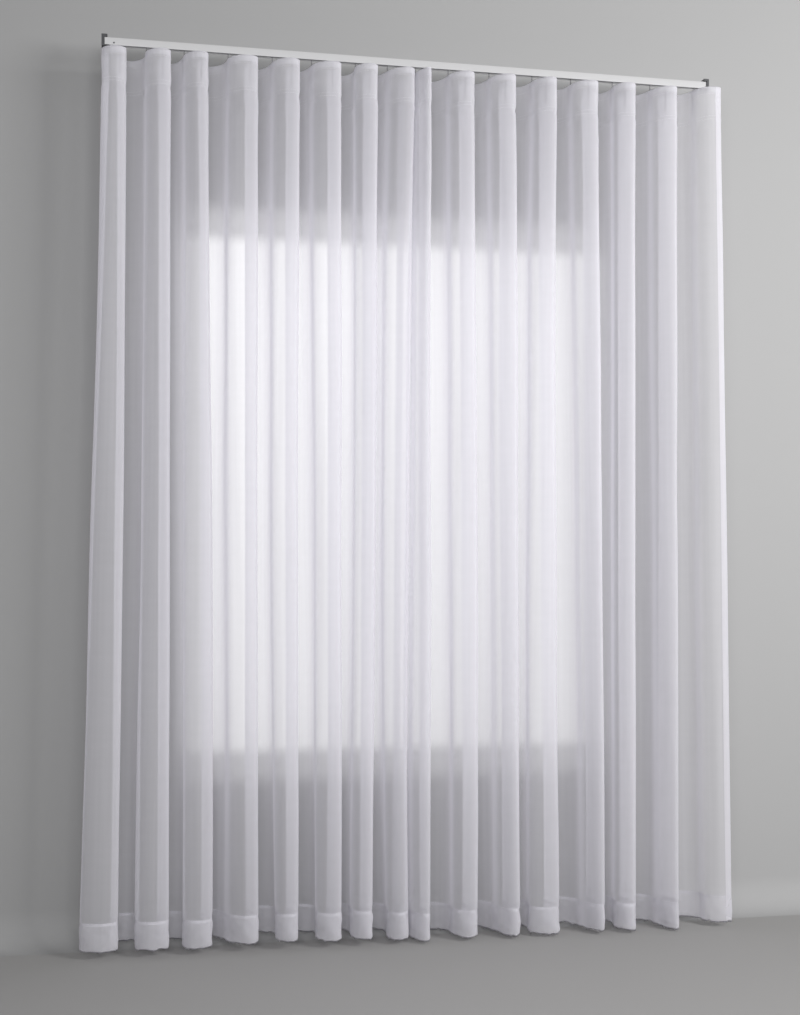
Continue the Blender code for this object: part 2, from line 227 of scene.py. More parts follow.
# Painted light on the backdrop: its grey is paler towards the right, as if lit more from that side
BACKDROP_PAINTED_ENDS = (-1.2, 1.3)  # along X, between which the painted light goes from the first grey to the second
BACKDROP_PAINTED_GREYS = (0.315, 0.385)
COVE = 0.10  # radius of its curve to the floor
COVE_GAP = 0.0005  # over the floor
CAMERA_PLACE = (-0.7944, -3.7927, -1.4759)
CAMERA_TURN = 11.0702  # degrees towards +X
CAMERA_LENS = 47.88  # millimetres
CAMERA_SHIFT = 0.0667

# One row for each front fold, left to right. In millimetres: where its middle stands along the rail
# at the heading, half way down and at the hem, how wide it is at the heading and at the hem, and how
# far below the rail's top its hem hangs. In degrees: how far the cloth leans over, where it crosses
# under the rail on the fold's left, at the heading and at the hem, and on its right.
Fold = namedtuple("Fold", "top middle foot width_top width_foot drop left_top left_foot right")

LEFT_FOLDS = (
    Fold(-854, -873, -895, 69, 108, 2499, 21, 21, 38),
    Fold(-735, -742, -752, 70, 89, 2499, 0, 28, 42),
    Fold(-632, -628, -628, 70, 83, 2501, -10, 25, 38),
    Fold(-503, -506, -504, 86, 91, 2495, -10, -25, 42),
    Fold(-383, -385, -379, 79, 66, 2495, -15, 15, 40),
    Fold(-269, -264, -262, 85, 68, 2499, -20, 15, 42),
    Fold(-154, -158, -169, 65, 60, 2497, 5, 10, 38),
    Fold(-54, -70, -63, 80, 61, 2506, -30, 10, 20),
)
RIGHT_FOLDS = (
    Fold(9, 4.5, 0.5, 43, 60, 2513, -20, -20, 30),
    Fold(122, 130, 132, 75, 72, 2510, -18, -5, 40),
    Fold(244, 252, 259, 76, 70, 2510, -18, -20, 42),
    Fold(370, 365, 370, 69, 91, 2513, -18, 12, 42),
    Fold(493, 508, 517, 79, 62, 2509, -15, -25, 40),
    Fold(614, 616, 617, 64, 62, 2512, 0, 12, 40),
    Fold(737, 742, 747, 76, 55, 2514, -25, -25, 42),
    Fold(881, 896, 913, 90, 98, 2505, -25, -25, 0),
)

# A panel: its folds, how far its first side edge is tucked in and set back at the heading, the share
# of a back fold that comes before its first front fold, the share of its last front fold that there
# is cloth for, how far the heading stands up at its last side edge, how much higher its hem hangs at
# the back, the size it was cut to, and the seed of its small ripples.
Panel = namedtuple("Panel", "side folds tuck set_back lead last lift rise flat seed")

PANELS = (
    Panel("left", LEFT_FOLDS, 0.016, 0.0026, 0.0, 1.0, 0.0, 0.002, (2.36, 2.66), 11),
    Panel("right", RIGHT_FOLDS, 0.0, 0.0, 0.5, 0.66, 0.010, 0.005, (2.36, 2.67), 23),
)

# Creases, listed one by one. In loops of the wave, where it starts at its top and where it ends at its
# foot; in metres below the rail's top, its two ends; in millimetres, its width and how far it sinks
# in, where a number below 0 stands proud.
Crease = namedtuple("Crease", "start end high low width depth")

LEFT_CREASES = (
    Crease(0.30, 0.22, 0.15, 1.30, 12, 1.6),
    Crease(0.62, 0.70, 0.40, 2.20, 14, -1.5),
    Crease(2.30, 2.42, 0.16, 1.10, 11, 1.8),
    Crease(2.55, 2.66, 0.90, 2.40, 13, -1.6),
    Crease(4.36, 4.24, 0.15, 0.90, 12, 1.8),
    Crease(4.62, 4.55, 0.70, 2.30, 15, 1.5),
    Crease(6.25, 6.40, 0.20, 1.60, 13, -1.7),
    Crease(6.70, 6.58, 1.00, 2.40, 12, 1.5),
    Crease(8.40, 8.30, 0.15, 1.20, 11, 1.7),
    Crease(8.58, 8.70, 0.90, 2.35, 14, -1.5),
    Crease(10.35, 10.50, 0.15, 1.50, 12, 1.6),
    Crease(12.42, 12.30, 0.25, 2.10, 12, -1.6),
    Crease(14.35, 14.50, 0.15, 1.40, 12, 1.8),
    Crease(14.60, 14.45, 1.20, 2.40, 13, -1.5),
)
RIGHT_CREASES = (
    Crease(0.55, 0.45, 0.20, 1.80, 10, 1.4),
    Crease(2.38, 2.26, 0.15, 1.40, 13, 1.8),
    Crease(2.60, 2.70, 0.80, 2.40, 13, -1.6),
    Crease(4.30, 4.44, 0.15, 1.20, 12, 1.7),
    Crease(4.70, 4.60, 1.00, 2.40, 12, 1.5),
    Crease(6.35, 6.22, 0.18, 1.70, 12, -1.6),
    Crease(6.62, 6.72, 0.60, 2.30, 14, 1.6),
    Crease(8.32, 8.45, 0.15, 1.30, 12, 1.8),
    Crease(8.66, 8.56, 1.10, 2.40, 13, -1.5),
    Crease(10.40, 10.30, 0.20, 1.90, 12, 1.6),
    Crease(12.30, 12.42, 0.15, 1.50, 13, 1.7),
    Crease(12.62, 12.52, 1.20, 2.40, 12, -1.5),
    Crease(14.20, 14.30, 0.15, 2.30, 14, 1.4),
)
CREASES = {"left": LEFT_CREASES, "right": RIGHT_CREASES}


# ---- wave

def share_of_drop(panel, heights):
    """How far down its fall the cloth is at each height: 0 all over the stiff heading, 1 at the hem."""
    top = -HEADING_TOP - HEADING_BAND
    foot = -np.mean([fold.drop for fold in panel.folds]) * MM
    return np.maximum((top - heights) / (top - foot), 0.0)


def along_rail(u, width, left, right):
    """How far along the rail a fold has come from its first crossing, for u from 0 to 1.

    With s = sin pi u and d = sin 2 pi u it is width u - P (s + d / 2) + Q (s - d / 2), where P and Q
    give the cloth its lean at the two crossings.
    """
    single = np.sin(PI * u)
    double = np.sin(2 * PI * u) / 2
    first = (width + left) / (2 * PI)
    second = (width + right) / (2 * PI)
    return width * u - first * (single + double) + second * (single - double)


def crossings(panel, share):
    """Where the cloth crosses under the rail, and its lean there: a row for each share of the drop.

    A fold bulges past its crossings, so they stand closer together than the fold is wide.
    """
    table = Fold(*np.array(panel.folds, float).T)
    s = share[:, None]
    middle = table.top * (1 - s) * (1 - 2 * s) + 4 * table.middle * s * (1 - s)
    middle = (middle + table.foot * s * (2 * s - 1)) * MM
    width = (table.width_top * (1 - s) + table.width_foot * s) * MM
    left = CROSS * np.tan(np.radians(table.left_top * (1 - s) + table.left_foot * s))
    right = CROSS * np.tan(np.radians(table.right)) + 0 * s
    u = np.linspace(0, 1, FINE)
    start, end = 0 * width, width
    for _ in range(FITS):
        x = along_rail(u, (end - start)[..., None], left[..., None], right[..., None])
        start, end = -x.min(axis=2), width - (x.max(axis=2) - x[..., -1])
    low = middle - width / 2
    places = np.stack((low + start, low + end), axis=2).reshape(len(share), -1)
    leans = np.stack((left, right), axis=2).reshape(len(share), -1)
    if panel.lead:
        places = np.column_stack((places[:, 0] - LEAD_WIDTH, places))
        leans = np.column_stack((0 * share, leans))
    return places, leans


def fold_plan(panel, share, phase):
    """The front face of the cloth in plan: x and y, a row for each share and a column for each phase.

    A phase counts loops of the wave, front ones even. In a loop y = A sin pi u - C sin 3 pi u, where A
    and C make it reach its depth and cross the rail as steeply as its neighbours. The first fold's side
    edge is tucked in and set back, which fades with a squared cosine.
    """
    places, leans = crossings(panel, share)
    before = 1 if panel.lead else 0
    loop = np.clip(np.floor(phase).astype(int), -before, places.shape[1] - 2 - before)
    u = phase - loop
    spot = loop + before
    start = places[:, spot]
    width = places[:, spot + 1] - start
    s = share[:, None]
    reach = TOP_DEPTH + (FOOT_DEPTH - TOP_DEPTH) * s - DEPTH_FOR_WIDTH * (width - EVEN_WIDTH)
    third = (reach - CROSS / PI) / 4
    side = np.where(loop % 2 == 0, -1.0, 1.0)
    fading = np.cos(PI / 2 * u / TUCK_SHARE) ** 2
    edge = np.where((loop == 0) & (u < TUCK_SHARE), fading, 0) * (1 - s)
    x = start + along_rail(u, width, leans[:, spot], leans[:, spot + 1]) + panel.tuck * edge
    y = (reach - third) * np.sin(PI * u) - third * np.sin(3 * PI * u) - panel.set_back * edge
    return x, side * y


def even_phases(panel):
    """Phases at even steps along the cloth, half way down, and how far across the cloth each one is."""
    loops = 2 * len(panel.folds) - 2 + panel.last
    fine = np.linspace(-panel.lead, loops, int(FINE * loops))
    x, y = fold_plan(panel, np.array([0.5]), fine)
    across = np.concatenate(([0], np.cumsum(np.hypot(np.diff(x[0]), np.diff(y[0])))))
    even = np.linspace(0, across[-1], int(across[-1] / COLUMN) + 1)
    return np.interp(even, across, fine), even


def heading_drop(panel, phase):
    """How far below the rail's top the cloth's top edge is: HEADING_TOP - HEADING_TIP sin pi phase, less
    a rise through the last back fold to the last side edge."""
    last_front = 2 * len(panel.folds) - 2
    up = np.clip((phase - last_front + LIFT_START) / LIFT_LOOPS, 0, 1)
    return HEADING_TOP - HEADING_TIP * np.sin(PI * phase) - panel.lift * up * up * (3 - 2 * up)


def hem_drop(panel, phase):
    """How far below the rail's top the hem hangs: straight between front folds, less a rise behind."""
    middles = 2 * np.arange(len(panel.folds)) + 0.5
    fronts = np.interp(phase, middles, [fold.drop * MM for fold in panel.folds])
    return fronts - panel.rise * (1 - np.cos(PI * (phase - 0.5))) / 2


def plan_normals(x, y):
    """Unit vectors in plan that point behind the cloth, from the slope of its line at each point."""
    along_x, along_y = np.gradient(x, axis=1), np.gradient(y, axis=1)
    length = np.hypot(along_x, along_y)
    return -along_y / length, along_x / length


def set_behind(x, y, distance):
    """A line in plan, moved this far behind the cloth."""
    normal_x, normal_y = plan_normals(x, y)
    return x + normal_x * distance, y + normal_y * distance


# ---- small shape of the cloth

def rippled(rng, across, down, ripple):
    """A ripple's depth times smooth noise from -1 to 1: random values on a lattice of its cells, eased
    between with 3 t^2 - 2 t^3."""
    lattice = rng.uniform(-1, 1, (int(SPAN / ripple.across) + 2, int(SPAN / ripple.down) + 2))
    a = across / ripple.across + 0.5
    b = down / ripple.down + 0.5
    i, j = a.astype(int), b.astype(int)
    s, t = a - i, b - j
    s, t = s * s * (3 - 2 * s), t * t * (3 - 2 * t)
    upper = lattice[i, j] * (1 - s) + lattice[i + 1, j] * s
    lower = lattice[i, j + 1] * (1 - s) + lattice[i + 1, j + 1] * s
    return ripple.depth * (upper * (1 - t) + lower * t)


def near(value, place, reach):
    """1 at a place and 0 far from it, as a bell: e to the minus square of the distance over the reach."""
    return np.exp(-(((value - place) / reach) ** 2))


def between(value, low, high, ease):
    """1 between two values and 0 outside them, eased with 3 t^2 - 2 t^3 over a distance at both ends."""
    rise = np.clip((value - low) / ease, 0, 1)
    fall = np.clip((high - value) / ease, 0, 1)
    return rise * rise * (3 - 2 * rise) * fall * fall * (3 - 2 * fall)


def creases(panel, across, down):
    """Soft troughs and ridges, each a bell across a line that wanders from its start to its end."""
    phases, places = even_phases(panel)
    total = np.zeros_like(down)
    for crease in CREASES[panel.side]:
        share = np.clip((down - crease.high) / (crease.low - crease.high), 0, 1)
        line = crease.start + (crease.end - crease.start) * share
        place = np.interp(line, phases, places)
        ends = between(down, crease.high, crease.low, CREASE_EASE)
        total += crease.depth * MM * near(across, place, crease.width * MM) * ends
    return total


def ripples(panel, phase, across, down):
    """How far the cloth lies behind its even wave: the sum of broad and fine ripples, which the stiff
    heading damps, creases, and the puckers and wrinkles of the hem and the heading."""
    drawn = partial(rippled, np.random.default_rng(panel.seed), across, down)
    loose = between(down, HEADING_TOP + HEADING_BAND, FAR, RIPPLE_EASE)
    total = drawn(BROAD_RIPPLE) + drawn(FINE_RIPPLE)
    total = total * (HEADING_DAMPING + (1 - HEADING_DAMPING) * loose) + creases(panel, across, down)
    hem_top = hem_drop(panel, phase) - HEM_DEPTH
    total = total + (drawn(HEM_PUCKER) + SEAM_SINK) * near(down, hem_top, SEAM_REACH)
    hem = between(down, hem_top, FAR, HEM_EASE)
    total = total + hem * drawn(HEM_WRINKLE)
    total = total + hem * drawn(HEM_CRINKLE)
    head = heading_drop(panel, phase)
    seam = near(down, head + HEADING_BAND, HEADING_SEAM_REACH)
    total = total + (drawn(HEADING_PUCKER) + HEADING_SEAM_SINK) * seam
    heading = between(down, head, head + 2 * HEADING_BAND, HEADING_EASE)
    return total + heading * drawn(HEADING_DENT)


def sway(panel, across, down):
    """How far the cloth stands along the rail from its even wave: slow drifts that the heading lacks,
    and small kinks just below it."""
    drawn = partial(rippled, np.random.default_rng(panel.seed + 1), across, down)
    loose = between(down, HEADING_TOP + HEADING_BAND, FAR, SWAY_EASE)
    slow = loose * drawn(SLOW_SWAY)
    return slow + near(down, *KINKS) * drawn(HEADING_KINK)


# ---- mesh

def grid(rows, columns):
    """The four corners of each face on a grid of points, row by row, that faces the front."""
    corner = (np.arange(rows - 1)[:, None] * columns + np.arange(columns - 1)).reshape(-1)
    return np.column_stack((corner, corner + 1, corner + 1 + columns, corner + columns))


def ring_grid(rings, sides):
    """Faces between rings of points, each ring closed on itself."""
    i = np.arange(rings - 1)[:, None] * sides
    j = np.arange(sides)[None, :]
    following = (j + 1) % sides
    return np.stack((i + j, i + following, i + sides + following, i + sides + j), axis=2).reshape(-1, 4)


def tube_faces(rings, sides, first=0):
    """Faces between rings of points, of which this one is the first, and a face across each end."""
    around = (ring_grid(rings, sides) + first).tolist()
    start = [first + i for i in range(sides)]
    end = [first + rings * sides - 1 - i for i in range(sides)]
    return around + [start, end]


def cloth_map(across, down):
    """Where each point of a grid lies on the flat cloth, across and down, in metres."""
    return np.stack(np.broadcast_arrays(across, down[:, None]), axis=2).reshape(-1, 2)


def smooth_mesh(name, points, faces, finish):
    """A mesh object at the origin, shaded smooth, with its finish."""
    mesh = bpy.data.meshes.new(name)
    mesh.from_pydata(np.asarray(points).reshape(-1, 3).tolist(), [], [list(face) for face in faces])
    mesh.shade_smooth()
    mesh.materials.append(finish)
    made = bpy.data.objects.new(name, mesh)
    bpy.context.scene.collection.objects.link(made)
    return made


def new_piece(name, points, faces, finish, replaces=(), uv=None):
    """A piece that rides on the body and its map, if it has one."""
    made = smooth_mesh(name, points, faces, finish)
    if uv is not None:
        corners = np.zeros(len(made.data.loops), np.int32)
        made.data.loops.foreach_get("vertex_index", corners)
        layer = made.data.uv_layers.new(name="cloth")
        layer.data.foreach_set("uv", uv[corners].astype(np.float32).ravel())
    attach(made, "root")
    if replaces:
        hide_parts(*replaces)
    return made


def set_layers(piece, values):
    """Keeps how close the yarns stand at each point of a piece, for its finish to read."""
    layer = piece.data.attributes.new("layers", "FLOAT", "POINT")
    layer.data.foreach_set("value", values.astype(np.float32).ravel())


# ---- cloth

def cloth_profile():
    """The path of the cloth from its turned-in hem edge down, up the front and over the heading.

    Each row: the share of the way from the top of the hem to the foot of the heading, how far above
    that share's height it is, how far behind the front face, and how close its yarns stand.
    """
    seam = HEM_DEPTH - EASE
    back = np.arange(seam, EASE, -HEM_ROW)
    rows = [(0.0, up - HEM_DEPTH, SIDE_LAYER, HEM_EDGE) for up in (seam - HEM_TURN, seam)]
    rows += [(0.0, up - HEM_DEPTH, BACK_LAYER, BEHIND_HEM) for up in back]
    rows += [(0.0, -HEM_DEPTH, FOLD_LAYER, FOOT_TURN)]
    rows += [(0.0, up - HEM_DEPTH, FRONT_LAYER, 1.0) for up in back[::-1]]
    fall = DROP - HEM_DEPTH - HEADING_BAND - HEADING_TOP
    rows += [(0.0, up, FRONT_LAYER, 1.0) for up in np.arange(0, ROW, HEM_ROW)]
    rows += [(share, 0.0, FRONT_LAYER, 1.0) for share in np.linspace(0, 1, int(fall / ROW))[1:-1]]
    heading = np.arange(HEM_ROW - ROW, HEADING_BAND, HEM_ROW)
    turned = heading[heading > HEADING_BAND - HEADING_TURN]
    rows += [(1.0, up, FRONT_LAYER, 1.0) for up in heading]
    rows += [(1.0, HEADING_BAND, FOLD_LAYER, TOP_TURN)]
    rows += [(1.0, up, BACK_LAYER, 1.0) for up in turned[::-1]]
    return np.array(rows).T


def cloth_points(panel, phase, across, share, rise, offset):
    """Points of the cloth, a row for each share of its height: the wave, set back by the offset.

    Its foot is uneven. The top of its heading is lower where it rolls over and on the left panel's
    first fold, and higher near each front fold's right edge.
    """
    foot = hem_drop(panel, phase)
    head = heading_drop(panel, phase)
    low = HEM_DEPTH - foot
    high = -head - HEADING_BAND
    z = low + (high - low) * share[:, None] + rise[:, None]
    x, y = fold_plan(panel, share_of_drop(panel, z.mean(axis=1)), phase)
    down = -z
    across = across + 0 * down
    x, y = set_behind(x, y, offset[:, None] + ripples(panel, phase, across, down))
    x = x + sway(panel, across, down)
    drawn = partial(rippled, np.random.default_rng(panel.seed + 2), across, down)
    nibbled = drawn(FOOT_WAVE) + drawn(FOOT_NIBBLE)
    rolled = np.abs(drawn(HEADING_ROLL)) * near(down, head, ROLL_REACH)
    lifted = LIFT * near(down, head, LIFT_REACH) * near(phase % 2, *LIFTED)
    dipped = 0 if panel.lead else DIP * near(down, head, DIP_REACH) * near(phase, *DIPPED)
    z = z + nibbled * near(down, foot, FOOT_REACH) - rolled + lifted - dipped
    return np.stack((x, y, z), axis=2)


def curtain(panel, finish):
    """One panel: a continuous sheet with its hem and heading turned, and its two side hems.

    On the left of each front fold the cloth is drawn denser by a set factor: a painted highlight, a
    brighter strip that stands in for light catching the fold's turn.
    """
    phase, across = even_phases(panel)
    share, rise, offset, layers = cloth_profile()
    points = cloth_points(panel, phase, across, share, rise, offset)
    down = np.concatenate(([0], np.cumsum(np.linalg.norm(np.diff(points[:, 0], axis=0), axis=1))))
    faces = [grid(*points.shape[:2])]
    all_points = [points.reshape(-1, 3)]
    all_uv = [cloth_map(across, down)]
    past_crossing = (phase + 1) % 2 - 1  # in loops, on the left of each front fold
    # painted highlight: denser cloth in a strip on the left of each front fold, so that it shows brighter
    painted_strip = 1 + (PAINTED_STRIP_DENSITY - 1) * near(past_crossing, *PAINTED_STRIP_PLACE)
    all_layers = [np.outer(layers, painted_strip).ravel()]
    first = len(all_points[0])
    front = offset == FRONT_LAYER
    inward = np.array([0, EDGE_ROLL, *np.linspace(EASE, SIDE_HEM, 6)])
    behind = np.full(front.sum(), SIDE_LAYER)
    order = grid(len(behind), len(inward))
    count = len(behind) * len(inward)
    sides = ((0, inward, order[:, ::-1]), (-1, across[-1] - inward, order))
    for edge, where, corners in sides:
        spot = np.interp(where, across, phase)
        strip = cloth_points(panel, spot, where, share[front], rise[front], behind)
        strip[:, 0] = points[front][:, edge]
        faces.append(corners + first)
        all_points.append(strip.reshape(-1, 3))
        all_uv.append(cloth_map(where, down[front]))
        all_layers.append(np.full(count, SIDE_TURN))
        first += count
    made = new_piece(
        "voile_" + panel.side, np.concatenate(all_points), np.concatenate(faces), finish,
        ["curtain_" + panel.side], np.concatenate(all_uv),
    )
    set_layers(made, np.concatenate(all_layers))
    return made


def tape(panel, finish):
    """The heading tape behind the turned heading: cosine ribs down it, and a ripple for its pockets."""
    phase, across = even_phases(panel)
    high = -heading_drop(panel, phase) - TAPE_BELOW_TOP
    from_top = np.linspace(0, TAPE_WIDTH, TAPE_ROWS)
    x, y = fold_plan(panel, np.zeros(TAPE_ROWS), phase)
    ribs = RIB_DEPTH * np.cos(from_top[:, None] / RIB_PITCH * 2 * PI)
    pockets = POCKET_DEPTH * np.cos(across / POCKET_PITCH * 2 * PI)
    x, y = set_behind(x, y, TAPE_LAYER + ribs + pockets)
    points = np.stack((x, y, high - from_top[:, None]), axis=2)[::-1]
    made = new_piece(
        "tape_" + panel.side, points, grid(TAPE_ROWS, len(phase)), finish,
        ["heading_tape_" + panel.side], cloth_map(across, from_top[::-1]),
    )
    set_layers(made, np.ones(points.shape[:2]))
    return made


def stitch_row(line, normals):
    """Stitches along a line of points: each one a bar that tapers to its ends, with four sides.

    A bar has a point at each end and four points round its middle, half a thread's width from it.
    """
    step = np.linalg.norm(np.diff(line, axis=0), axis=1)
    along = np.concatenate(([0], np.cumsum(step)))
    centre = np.arange(STITCH, along[-1] - STITCH, STITCH)
    ends = [centre - STITCH_LENGTH / 2, centre, centre + STITCH_LENGTH / 2]
    start, middle, stop = [np.column_stack([np.interp(s, along, c) for c in line.T]) for s in ends]
    out = np.column_stack([np.interp(centre, along, c) for c in normals.T])
    side = np.cross(stop - start, out)
    side /= np.linalg.norm(side, axis=1)[:, None]
    middle = middle + out * PROUD
    half = THREAD / 2
    corners = [start, stop, middle + out * half, middle + side * half]
    corners += [middle - out * half, middle - side * half]
    points = np.stack(corners, axis=1).reshape(-1, 3)
    bar = np.array([[0, 2, 3], [0, 3, 4], [0, 4, 5], [0, 5, 2], [1, 3, 2], [1, 4, 3], [1, 5, 4], [1, 2, 5]])
    faces = (np.arange(len(centre))[:, None, None] * 6 + bar).reshape(-1, 3)
    return points, faces


def outward(cloth):
    """Level unit vectors out of the front of the cloth, at each of its points."""
    normal_x, normal_y = plan_normals(cloth[:, :, 0], cloth[:, :, 1])
    return np.stack((-normal_x, -normal_y, 0 * normal_x), axis=2)


def stitching(panel, finish):
    """The seams that show on the front, in rows of stitches just before the cloth: hem, heading, tape
    and both side hems."""
    phase, across = even_phases(panel)
    seams = []
    for share, rise in ((0.0, -HEM_SEAM), *((1.0, up) for up in HEADING_SEAMS)):
        cloth = cloth_points(panel, phase, across, np.array([share]), np.array([rise]), np.zeros(1))
        seams.append((cloth[0], outward(cloth)[0]))
    share = np.linspace(0, 1, 400)
    for place in (SIDE_SEAM, across[-1] - SIDE_SEAM):
        where = place + SIDE_STEP * np.array([-1, 0, 1])
        spot = np.interp(where, across, phase)
        cloth = cloth_points(panel, spot, where, share, 0 * share, 0 * share)
        seams.append((cloth[:, 1], outward(cloth)[:, 1]))
    points, faces, first = [], [], 0
    for line, normals in seams:
        bar_points, bar_faces = stitch_row(line, normals)
        points.append(bar_points)
        faces.append(bar_faces + first)
        first += len(bar_points)
    return new_piece(
        "stitching_" + panel.side, np.concatenate(points), np.concatenate(faces), finish
    )


# ---- rail, caps and gliders

def rounded(corners, radius, steps):
    """An outline with its corners rounded, each to a quadratic curve that has it as its control point."""
    corners = np.array(corners, float)
    before = np.roll(corners, 1, axis=0) - corners
    after = np.roll(corners, -1, axis=0) - corners
    to_before = np.linalg.norm(before, axis=1)
    to_after = np.linalg.norm(after, axis=1)
    reach = np.minimum(radius, 0.45 * np.minimum(to_before, to_after))
    start = corners + before * (reach / to_before)[:, None]
    end = corners + after * (reach / to_after)[:, None]
    t = np.linspace(0, 1, steps)[None, :, None]
    arc = start[:, None] * (1 - t) ** 2 + 2 * corners[:, None] * t * (1 - t) + end[:, None] * t**2
    return arc.reshape(-1, 2)


def carried(outline, stations):
    """An outline carried straight past each station: the way along, and the outline's two across."""
    along = stations[:, None] + 0 * outline[:, 0]
    return along, outline[:, 0] + 0 * along, outline[:, 1] + 0 * along


def rail(finish):
    """The rail: its rounded channel section carried from one end to the other."""
    low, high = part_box("rail")
    half = high.y
    foot = low.z
    inside = half - RAIL_WALL
    lip = foot + RAIL_WALL
    right = [(half, 0), (half, foot), (SLOT_HALF, foot)]
    right += [(SLOT_HALF, lip), (inside, lip), (inside, -RAIL_WALL)]
    corners = right + [(-across, up) for across, up in reversed(right)]
    radius = np.full(len(corners), RAIL_CORNER)
    radius[[0, -1]] = RAIL_TOP_CORNER
    section = rounded(corners, radius, 7)
    points = np.stack(carried(section, np.linspace(low.x, high.x, 60)), axis=2)
    faces = tube_faces(*points.shape[:2])
    made = new_piece("rail_channel", points, faces, finish, ["rail"])
    face_outwards(made)
    made.data.set_sharp_from_angle(angle=np.radians(40))
    return made


def face_outwards(piece):
    """Turns a closed mesh's faces so that all of them point out."""
    shape = bmesh.new()
    shape.from_mesh(piece.data)
    bmesh.ops.recalc_face_normals(shape, faces=shape.faces)
    shape.to_mesh(piece.data)
    shape.free()


def end_cap(side, sign, finish):
    """An end cap: a plate past the rail's end, with a lip above it and one below."""
    low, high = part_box("end_cap_" + side)
    rail_low, rail_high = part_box("rail")
    end = rail_high.x + JOINT_GAP
    outer = max(abs(low.x), abs(high.x))
    inner = min(abs(low.x), abs(high.x))
    top, bottom = JOINT_GAP, rail_low.z - JOINT_GAP
    corners = [(outer, high.z), (outer, low.z), (inner, low.z), (inner, bottom)]
    corners += [(end, bottom), (end, top), (end - CAP_REACH, top), (end - CAP_REACH, high.z)]
    outline = rounded(corners, CAP_CORNER, 4)
    along, out, up = carried(outline, np.array([low.y, high.y]))
    points = np.stack((sign * out, along, up), axis=2)
    faces = tube_faces(*along.shape)
    made = new_piece("cap_" + side, points, faces, finish, ["end_cap_" + side])
    face_outwards(made)
    edge = made.modifiers.new("soft edges", "BEVEL")
    edge.width = CAP_EDGE
    edge.segments = 2
    edge.limit_method = "ANGLE"
    made.data.set_sharp_from_angle(angle=np.radians(50))
    return made


def turned(profile, sides):
    """A profile of radius and height turned about an axis: r cos a, r sin a and the height."""
    radius, height = np.array(profile).T
    angle = np.arange(sides) / sides * 2 * PI
    across, up = np.outer(radius, np.cos(angle)), np.outer(radius, np.sin(angle))
    return across, up, height[:, None] + 0 * across


def stop_screw(finish):
    """The small screw that fixes the rail's stop, in its face near the left end: a turned button."""
    across, up, proud = turned(SCREW_PROFILE, 16)
    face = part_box("rail")[0].y
    points = np.stack((SCREW_PLACE[0] + across, face - proud, SCREW_PLACE[1] + up), axis=2)
    return new_piece("stop_screw", points, ring_grid(*across.shape), finish)


def glider_hook():
    """A glider's hook: a flat section, its half widths times a power of sine and cosine, carried down a
    path that is bowed as one sine wave. It tapers at both ends."""
    close = np.linspace(HOOK_TOP, HOOK_CLOSE_ROWS, 5)
    down = np.concatenate((close, np.linspace(HOOK_WIDE_ROWS, HOOK_FOOT, 16)))
    bow = HOOK_BOW * np.sin((down - HOOK_TOP) / (HOOK_FOOT - HOOK_TOP) * 2 * PI)
    ends = between(down, HOOK_TOP - HOOK_END, HOOK_FOOT + HOOK_END, HOOK_TAPER)
    wide = HOOK_HALF_WIDTH * (0.55 + 0.45 * ends)
    thick = HOOK_HALF_THICKNESS * (0.5 + 0.5 * ends)
    around = (np.arange(12) + 0.5) / 12 * 2 * PI
    along = np.sign(np.cos(around)) * np.abs(np.cos(around)) ** HOOK_CORNER
    across = np.sign(np.sin(around)) * np.abs(np.sin(around)) ** HOOK_CORNER
    side = bow[:, None] + np.outer(thick, across)
    return np.stack((side, np.outer(wide, along), -down[:, None] + 0 * side), axis=2)


def glider(name, angle, finish):
    """One glider: its turned head, neck and eye, and its hook, facing the cloth, where its solid is."""
    low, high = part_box(name)
    centre = (low + high) / 2
    side, front, down = turned(GLIDER_PROFILE, 16)
    head = np.stack((side, front, -down), axis=2)
    hook = glider_hook()
    points = np.concatenate((head.reshape(-1, 3), hook.reshape(-1, 3)))
    x = centre.x + points[:, 0] * np.cos(angle) - points[:, 1] * np.sin(angle)
    y = centre.y + points[:, 0] * np.sin(angle) + points[:, 1] * np.cos(angle)
    points = np.column_stack((x, y, high.z + points[:, 2]))
    faces = ring_grid(*down.shape).tolist() + tube_faces(*hook.shape[:2], down.size)
    made = new_piece(name.replace("glider", "hook"), points, faces, finish, [name])
    face_outwards(made)
    return made


def gliders(panel, finish):
    """A glider at each crossing of a panel, turned to the cloth's own direction there."""
    count = 2 * len(panel.folds) - (0 if panel.last == 1.0 else 1)
    crossing = np.arange(count, dtype=float)
    phase = np.stack((crossing - TURN_STEP, crossing + TURN_STEP), axis=1).reshape(-1)
    phase = np.clip(phase, -panel.lead, 2 * len(panel.folds) - 2 + panel.last)
    x, y = fold_plan(panel, np.array([0.0]), phase)
    angles = np.arctan2(y[0, 1::2] - y[0, ::2], x[0, 1::2] - x[0, ::2]) - PI / 2
    for i in range(count):
        glider(f"glider_{panel.side}_{i + 1:02d}", angles[i], finish)


# ---- finishes

def empty_material(name):
    """A new material without any node."""
    made = bpy.data.materials.new(name)
    made.use_nodes = True
    made.node_tree.nodes.clear()
    return made


def add_node(material, kind, inputs=None, **settings):
    """A node of this kind with its settings, and numbers or colours on its sockets."""
    made = material.node_tree.nodes.new("ShaderNode" + kind)
    for name, value in settings.items():
        setattr(made, name, value)
    for name, value in (inputs or {}).items():
        made.inputs[name].default_value = value
    return made


def join(material, source, target):
    """Leads one node's output to another's socket."""
    material.node_tree.links.new(source, target)


def feed(material, value, socket):
    """Sets a socket to a number, or leads another node's output to it."""
    if isinstance(value, (int, float)):
        socket.default_value = value
    else:
        join(material, value, socket)


def maths(material, operation, first, second):
    """One sum on two values, each a number or another node's output."""
    made = add_node(material, "Math", operation=operation)
    feed(material, first, made.inputs[0])
    feed(material, second, made.inputs[1])
    return made.outputs[0]


